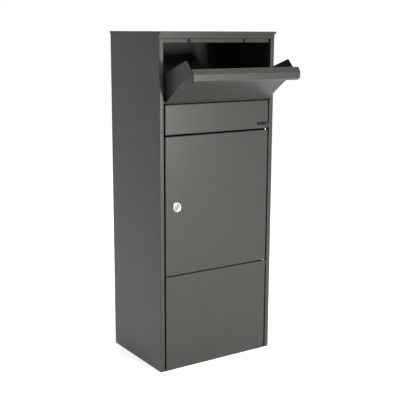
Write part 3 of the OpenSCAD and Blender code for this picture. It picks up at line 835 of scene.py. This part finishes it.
def rolled_sheet_recipe(**sizes):
    recipe = Recipe("rolled_sheet", **sizes, finish=COAT)
    roll = recipe.size("radius") * recipe.size("turn")
    length = recipe.size("height") + roll
    sheet = recipe.node("GeometryNodeMeshGrid", {}, {
        "Size X": recipe.size("width"), "Size Y": length,
        "Vertices X": 2, "Vertices Y": recipe.size("rows")})
    place = recipe.node("GeometryNodeInputPosition")
    x, y = (recipe.node("ShaderNodeSeparateXYZ", {}, [place], axis) for axis in "XY")
    up = y + length / 2 - roll  # height over the hinge line, negative in the roll
    past, flat = up.sum("MAXIMUM", 0 - up, 0.0), up.sum("MAXIMUM", up, 0.0)
    angle = past / recipe.size("radius")
    cosine, sine = angle.sum("COSINE", angle), angle.sum("SINE", angle)
    rolled = recipe.vector(x, 0 - recipe.size("radius") * cosine, flat - recipe.size("radius") * sine)
    recipe.close(recipe.node("GeometryNodeSetPosition", {}, {"Geometry": sheet, "Position": rolled}))
    return recipe


panel = rolled_sheet_recipe(width=2 * HATCH_HALF, height=PANEL_H, radius=KNUCKLE_R,
                            turn=KNUCKLE_TURN, rows=KNUCKLE_ROWS).make("hatch_panel")
wall = panel.modifiers.new("sheet", "SOLIDIFY")
wall.thickness, wall.offset = SHEET, 1 if panel.data.polygons[-1].normal.y > 0 else -1
plain(panel)


def knuckle_ends(bm):
    for side in (-1, 1):
        inner, outer = side * CHEEK_IN, side * (HATCH_HALF + MM)
        add_block(bm, (inner, -KNUCKLE_CUT, -KNUCKLE_CUT), (outer, KNUCKLE_CUT, 0))
        add_block(bm, (inner, PANEL_BACK, -MM), (outer, KNUCKLE_CUT, KNUCKLE_CUT))


carved(panel, knuckle_ends)
panel.data.transform(SHUT)
fit(panel, "hatch_panel")

# %% [markdown]
# ## The pull lip
# One strip folded five times along the hatch's top edge makes a hollow lip for the fingers. Its
# ends are left open, so the fold can be seen from the side. Its flange lies behind the panel and
# fits between the cheeks.

# %% Fold the pull lip
GRIP_FLANGE = 30 * MM
# Millimetres from the hinge line with the hatch shut, backwards and upwards.
lip_path = [(-29.5, 158), (-35, 158), (-35, 168), (-22, 178.5), (-5.5, 178.5), (-5.5, 148.5)]
lip_outline = folded_outline([(v * MM, w * MM) for v, w in lip_path])
grip = piece_from(extruded(bmesh.new(), lip_outline, "X", -HATCH_HALF, HATCH_HALF), "hatch_grip", COAT)


def flange_ends(bm):
    for side in (-1, 1):
        add_block(bm, (side * (CHEEK_IN - 0.3 * MM), PANEL_BACK, PANEL_H - GRIP_FLANGE - MM),
                  (side * (HATCH_HALF + MM), 0, PANEL_H))


carved(grip, flange_ends)
grip.data.transform(SHUT)
fit(grip, "hatch_grip")

# %% [markdown]
# ## Cheeks
# A cheek closes each side of the hatch, so that nothing slips off the tray and no hand reaches
# in past it. Its outline is a flat plate with rounded corners, and its front edge is folded into
# a flange that is welded to the panel. The plate and the fold are joined by a Boolean.

# %% Cut and fold the cheeks
HATCH_OPEN = TURN["hatch_hinge"]
TRAY_T = 1 * MM
TRAY_FRONT, TRAY_SIDE_H, TRAY_SIDE_LEN = 78 * MM, 12 * MM, 200 * MM
RIVET_ALONG = [y * MM for y in (10, 38, 66)]
RIVET_UP = KNUCKLE_R + TRAY_T + 6 * MM
RIVET_R = 1.6 * MM
FLANGE_Z = (45 * MM, 146.5 * MM)
CHEEK_FLANGE_W, CHEEK_FLANGE_D = 13 * MM, 8 * MM
CHEEK_TOP, CHEEK_BACK = 167 * MM, 84 * MM
CORNER, CORNER_R = (30 * MM, 153 * MM), 8 * MM  # the rounded upper corner
HEEL, HEEL_R = (68 * MM, 44 * MM), 10 * MM  # the rounded heel, given with the hatch open
BUSH_HOLE_R = 5.05 * MM


def seen_shut(y, z):
    """A point given with the hatch open, in the frame of the shut hatch."""
    return (y * math.cos(HATCH_OPEN) + z * math.sin(HATCH_OPEN),
            -y * math.sin(HATCH_OPEN) + z * math.cos(HATCH_OPEN))


def rounded(centre, radius, start, end, steps=8):
    angles = [math.radians(start + (end - start) * k / steps) for k in range(steps + 1)]
    return [(centre[0] + radius * math.cos(a), centre[1] + radius * math.sin(a)) for a in angles]


def joined_with(piece, draw):
    return combined(piece, draw, "UNION")


def cheek(node, side):
    top = [(2 * MM, FLANGE_Z[1]), (PANEL_BACK, FLANGE_Z[1] + 2 * MM), (PANEL_BACK, CHEEK_TOP)]
    outline = (top + rounded(CORNER, CORNER_R, 78, 17) + [(CHEEK_BACK, 0)]
               + rounded(seen_shut(*HEEL), HEEL_R, 17, -48)
               + [seen_shut(TRAY_FRONT, KNUCKLE_R)] + rounded((0, 0), KNUCKLE_R, 35, -178, 24)
               + [(PANEL_BACK, 0), (PANEL_BACK, FLANGE_Z[0] - MM), (2 * MM, FLANGE_Z[0] + MM)])
    x0, x1 = sorted((side * CHEEK_IN, side * CHEEK_OUT))
    piece = piece_from(extruded(bmesh.new(), outline, "X", x0, x1), node, COAT)

    def flange(bm):
        path = [(side * u, v) for u, v in folded_outline(
            [(CHEEK_IN - CHEEK_FLANGE_W, PANEL_BACK), (CHEEK_OUT, PANEL_BACK), (CHEEK_OUT, CHEEK_FLANGE_D)])]
        extruded(bm, path, "Z", *FLANGE_Z)

    joined_with(piece, flange)

    def holes(bm):
        add_rod(bm, "X", (0, 0), BUSH_HOLE_R, x0 - MM, x1 + MM, sides=48)
        for y in RIVET_ALONG:
            add_rod(bm, "X", seen_shut(y, RIVET_UP), RIVET_R, x0 - MM, x1 + MM, sides=24)

    carved(piece, holes)
    piece.data.transform(SHUT)
    return fit(piece, node)


cheek("left_cheek", -1)
cheek("right_cheek", 1)

# %% [markdown]
# ## The tray
# The parcel lies on this sheet while the hatch is open. Its front edge turns up against the
# panel, its rear edge is hemmed down, and its sides turn up inside the cheeks, where rivets hold
# them. Each side fold is its own short section, joined to the flat part.

# %% Fold the tray
TRAY_LEN, TRAY_HEM, TRAY_UP = 262 * MM, 10 * MM, 20 * MM
SIDE_FOLD_IN = 5 * MM
OPEN = Matrix.Translation(PIVOT["hatch_hinge"])


def tray_outline():
    up = KNUCKLE_R
    cosine, sine = math.cos(HATCH_OPEN), math.sin(HATCH_OPEN)
    meet = (up - PANEL_BACK * sine) / cosine
    corner = (PANEL_BACK * cosine - meet * sine, up)
    top = (PANEL_BACK * cosine - (meet + TRAY_UP) * sine, PANEL_BACK * sine + (meet + TRAY_UP) * cosine)
    return folded_outline([top, corner, (TRAY_LEN, up), (TRAY_LEN, up - TRAY_HEM)], thick=TRAY_T)


tray = piece_from(extruded(bmesh.new(), tray_outline(), "X", -CHEEK_IN, CHEEK_IN), "parcel_tray", COAT)


def side_strips(bm):
    for side in (-1, 1):
        add_block(bm, (side * (CHEEK_IN - SIDE_FOLD_IN), 0, 0),
                  (side * (CHEEK_IN + MM), TRAY_SIDE_LEN, 2 * KNUCKLE_R))


def side_folds(bm):
    for side in (-1, 1):
        path = [(CHEEK_IN - SIDE_FOLD_IN, KNUCKLE_R), (CHEEK_IN, KNUCKLE_R),
                (CHEEK_IN, KNUCKLE_R + TRAY_T + TRAY_SIDE_H)]
        extruded(bm, [(side * u, v) for u, v in folded_outline(path, thick=TRAY_T)], "Y", 0, TRAY_SIDE_LEN)


joined_with(carved(tray, side_strips), side_folds)
tray.data.transform(OPEN)
fit(tray, "parcel_tray")

# %% [markdown]
# ## Rivets
# A blind rivet leaves a low round head. One recipe draws it, a sphere flattened below its
# middle and set on a shank, and an Instance on Points node puts a copy on each given point,
# turned along the given direction. The same recipe, with other sizes, makes the pins' heads.

# %% Write the rivet recipe
def head_and_shank(recipe, sides=24):
    ball = recipe.node("GeometryNodeMeshUVSphere", {}, {"Segments": sides, "Rings": 12, "Radius": 1.0})
    wide = recipe.size("head_radius")
    ball = recipe.moved(ball, scale=recipe.vector(wide, wide, recipe.size("head_height")))
    place = recipe.node("GeometryNodeInputPosition")
    x, y, z = (recipe.node("ShaderNodeSeparateXYZ", {}, [place], axis) for axis in "XYZ")
    domed = recipe.vector(x, y, z.sum("MAXIMUM", z, 0.0))
    head = recipe.node("GeometryNodeSetPosition", {}, {"Geometry": ball, "Position": domed})
    long = recipe.size("shank_length")
    shank = recipe.cylinder(sides, recipe.size("shank_radius"), long)
    return head, recipe.lifted(shank, long * -0.5)


def placed(recipe, fastener):
    turn = recipe.node("FunctionNodeAlignRotationToVector", {"axis": "Z"},
                       {"Vector": recipe.size("direction")})
    recipe.close(recipe.node("GeometryNodeInstanceOnPoints", {},
                             {"Points": recipe.points, "Instance": fastener, "Rotation": turn}))
    return recipe


def rivets(node, places, direction, finish=ZINC, **sizes):
    recipe = Recipe(node, direction=direction, **sizes, finish=finish)
    return placed(recipe, recipe.joined(*head_and_shank(recipe))).make(node, places)


def merged(*pieces):
    """Joins pieces made by separate recipes into the first one."""
    bm = bmesh.new()
    for piece in pieces:
        bm.from_mesh(piece.data)
    bm.to_mesh(pieces[0].data)
    bm.free()
    for piece in pieces[1:]:
        bpy.data.objects.remove(piece)
    return pieces[0]


# %% Set the rivets and the hatch pins
RIVET = {"head_radius": 3.2 * MM, "head_height": 1 * MM, "shank_radius": RIVET_R}
BACK_RIVET_Z = range(60, 971, 130)  # in millimetres
back_places = [(side * FLANGE_MID, REAR, z * MM) for side in (-1, 1) for z in BACK_RIVET_Z]
fit(rivets("back_rivets", back_places, (0.0, 1.0, 0.0), **RIVET, shank_length=5 * MM), "back_rivets", ease=0)


def inward_rivets(side):
    x = side * (CHEEK_IN - TRAY_T)
    places = [OPEN @ Vector((x, y, RIVET_UP)) for y in RIVET_ALONG]
    return rivets("tray_rivets", places, (-float(side), 0.0, 0.0), **RIVET, shank_length=2.5 * MM)


fit(merged(inward_rivets(-1), inward_rivets(1)), "tray_rivets", ease=0)


def pin(side):
    place = (side * HALF_W, PIVOT["hatch_hinge"].y, PIVOT["hatch_hinge"].z)
    return rivets("hatch_pins", [place], (float(side), 0.0, 0.0), COAT, head_radius=4.2 * MM,
                  head_height=1.2 * MM, shank_radius=3 * MM, shank_length=31.5 * MM)


fit(merged(pin(-1), pin(1)), "hatch_pins", ease=0)

# %% [markdown]
# ## Screws and nuts
# The floor's screws have a crossed recess, cut from the domed head by two thin blocks. The
# roof's nuts are six-sided with a chamfer, which is what is left where a hexagon and a cone
# overlap.

# %% Set the screws and the nuts
def screws(node, places, direction, **sizes):
    recipe = Recipe(node, direction=direction, **sizes, finish=ZINC)
    head, shank = head_and_shank(recipe)
    tall, slots = recipe.size("head_height"), []
    for long_axis in (0, 1):
        size = [recipe.size("head_radius") * (1.1 if axis == long_axis else 0.24) for axis in (0, 1)]
        slot = recipe.node("GeometryNodeMeshCube", {}, {"Size": recipe.vector(*size, tall)})
        slots.append(recipe.lifted(slot, tall * 0.85))
    cut = recipe.node("GeometryNodeMeshBoolean", {"operation": "DIFFERENCE", "solver": "EXACT"},
                      {"Mesh 1": head, "Mesh 2": slots, "Self Intersection": True})
    return placed(recipe, recipe.joined(cut, shank)).make(node, places)


def nuts(node, places, direction, finish, **sizes):
    """Six-sided nuts that reach from their places along a direction, chamfered at the far end."""
    recipe = Recipe(node, direction=direction, **sizes, finish=finish)
    tall, wide = recipe.size("height"), recipe.size("radius")
    hexagon = recipe.lifted(recipe.cylinder(6, wide, tall), tall * 0.5)
    cone = recipe.node("GeometryNodeMeshCone", {}, {
        "Vertices": 48, "Radius Bottom": wide * 1.6, "Radius Top": wide * 0.88, "Depth": tall * 1.002})
    cone = recipe.lifted(cone, tall * -0.001)
    hole = recipe.cylinder(48, recipe.size("bore"), tall * 3.0)
    boolean = "GeometryNodeMeshBoolean"
    shaped = recipe.node(boolean, {"operation": "INTERSECT", "solver": "EXACT"}, {"Mesh 2": [hexagon, cone]})
    nut = recipe.node(boolean, {"operation": "DIFFERENCE", "solver": "EXACT"},
                      {"Mesh 1": shaped, "Mesh 2": hole})
    return placed(recipe, nut).make(node, places)


floor_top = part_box("compartment_floor")[1].z
screw_places = [(x * MM, y * MM, floor_top) for x in (-196, 196) for y in (-90, 110)]
fit(screws("floor_screws", screw_places, (0.0, 0.0, 1.0), head_radius=4.2 * MM, head_height=2.2 * MM,
           shank_radius=2 * MM, shank_length=9.5 * MM), "floor_screws", ease=0)
nut_places = [(*place, PANEL_TOP - SHEET) for place in STUD_PLACES]
fit(nuts("roof_nuts", nut_places, (0.0, 0.0, -1.0), ZINC, radius=4.6 * MM, height=4 * MM, bore=2.55 * MM),
    "roof_nuts", ease=0)

# %% [markdown]
# ## The cam lock
# The lock is four turned or stamped parts. A rose with a threaded barrel goes through the door
# and is held by a large thin nut. A plug with the key slot turns inside it, and carries the cam
# that reaches behind the jamb. Turned parts are a profile spun round the lock's axis. The thread
# is a ridge swept along a spiral, which is a path, so Geometry Nodes sweeps it.

# %% Turn the rose and cut the thread
ROSE_R, ROSE_H = 15 * MM, 2.5 * MM
ROSE_EDGE = 0.8 * MM  # radius of the rose's rounded rim
DISH_FLOOR = FRONT - ROSE_H + 0.35 * MM  # the shallow dish round the plug
PLUG_R, PLUG_BORE = 6.5 * MM, 6.55 * MM
THREAD_ROOT = BARREL_R - 0.45 * MM
BARREL_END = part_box("lock_housing")[1].y
LOCK_SIDES = 72


def spun(node, profile):
    """Spins a closed profile of (radius, y) points round the lock's axis."""
    bm = bmesh.new()
    rows = []
    for k in range(LOCK_SIDES):
        angle = 2 * math.pi * k / LOCK_SIDES
        rows.append([bm.verts.new((LOCK.x + r * math.cos(angle), y, LOCK.z + r * math.sin(angle)))
                     for r, y in profile])
    for row, after in zip(rows, rows[1:] + rows[:1]):
        band(bm, row, after)
    return piece_from(bm, node, NICKEL)


def rose_profile():
    face = FRONT - ROSE_H
    barrel = [(PLUG_BORE, BARREL_END), (BARREL_R - 1.0 * MM, BARREL_END),
              (THREAD_ROOT, BARREL_END - 0.6 * MM), (THREAD_ROOT, FRONT), (ROSE_R, FRONT)]
    rim = [(ROSE_R - ROSE_EDGE * (1 - math.cos(a)), face + ROSE_EDGE * (1 - math.sin(a)))
           for a in (math.radians(d) for d in range(0, 91, 15))]
    dish = [(ROSE_R - 2.0 * MM, face), (ROSE_R - 2.6 * MM, DISH_FLOOR), (9.4 * MM, DISH_FLOOR),
            (8.8 * MM, face), (PLUG_BORE + 0.3 * MM, face), (PLUG_BORE, face + 0.3 * MM)]
    return barrel + rim + dish


def thread_ridge(radius, start, end, pitch, depth):
    turns = (end - start) / pitch
    recipe = Recipe("thread", radius=radius, pitch=pitch, turns=turns, depth=depth, finish=NICKEL)
    spiral = recipe.node("GeometryNodeCurveSpiral", {}, {
        "Resolution": 36, "Rotations": recipe.size("turns"), "Start Radius": recipe.size("radius"),
        "End Radius": recipe.size("radius"), "Height": recipe.size("turns") * recipe.size("pitch")})
    ridge = recipe.node("GeometryNodeCurvePrimitiveCircle", {"mode": "RADIUS"}, {
        "Resolution": 3, "Radius": recipe.size("depth")})
    recipe.close(recipe.node("GeometryNodeCurveToMesh", {},
                             {"Curve": spiral, "Profile Curve": ridge, "Fill Caps": True}))
    piece = recipe.make("thread")
    lying = Matrix.Rotation(math.radians(-90), 4, "X")
    piece.data.transform(Matrix.Translation((LOCK.x, start, LOCK.z)) @ lying)
    return piece


rose = spun("lock_housing", rose_profile())
thread = thread_ridge(radius=BARREL_R - 0.5 * MM, start=FRONT + MM, end=BARREL_END - MM, pitch=1.2 * MM,
                      depth=0.5 * MM)
fit(merged(rose, thread), "lock_housing", ease=0, sharp=50)

nut_place = [(LOCK.x, FRONT + SHEET, LOCK.z)]
fit(nuts("lock_nut", nut_place, (0.0, 1.0, 0.0), NICKEL, radius=13.9 * MM, height=5 * MM,
         bore=BARREL_R + 0.05 * MM), "lock_nut", ease=0)

# %% [markdown]
# ### Plug, cam and screw
# The plug's face has a shallow collar round it and a key slot that runs in past the face. Its
# square tail carries the cam, and a screw keeps the cam on.

# %% Make the plug, the cam and the screw
PLUG_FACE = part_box("lock_plug")[0].y
CAM_Y, CAM_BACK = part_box("lock_cam")[0].y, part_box("lock_cam")[1].y
TAIL = 3.5 * MM  # half the width of the square tail


def plug_profile():
    sunk, tail_end = PLUG_FACE + 0.3 * MM, CAM_Y - 0.3 * MM
    return [(0, sunk), (PLUG_R - 1.9 * MM, sunk), (PLUG_R - 1.6 * MM, PLUG_FACE),
            (PLUG_R - 0.5 * MM, PLUG_FACE), (PLUG_R, PLUG_FACE + 0.5 * MM),
            (PLUG_R, tail_end), (0, tail_end)]


def plug_cuts(bm):
    """The key slot: a tall narrow part and a short wide one, as (half width, low, high) in mm."""
    for half, low, high in ((1, -4.8, 3.2), (1.6, -2.4, -1)):
        add_block(bm, (LOCK.x - half * MM, PLUG_FACE - MM, LOCK.z + low * MM),
                  (LOCK.x + half * MM, PLUG_FACE + 12 * MM, LOCK.z + high * MM))


def tail(bm):
    add_block(bm, (LOCK.x - TAIL, CAM_Y - 0.6 * MM, LOCK.z - TAIL), (LOCK.x + TAIL, CAM_BACK, LOCK.z + TAIL))


plug = spun("lock_plug", plug_profile())
fit(joined_with(carved(plug, plug_cuts), tail), "lock_plug", ease=0.1 * MM)
softened("lock_cam", ZINC, 0.3 * MM)
fit(screws("lock_screw", [(LOCK.x, CAM_BACK, LOCK.z)], (0.0, 1.0, 0.0), head_radius=6 * MM,
           head_height=2.2 * MM, shank_radius=2 * MM, shank_length=5.5 * MM), "lock_screw", ease=0)
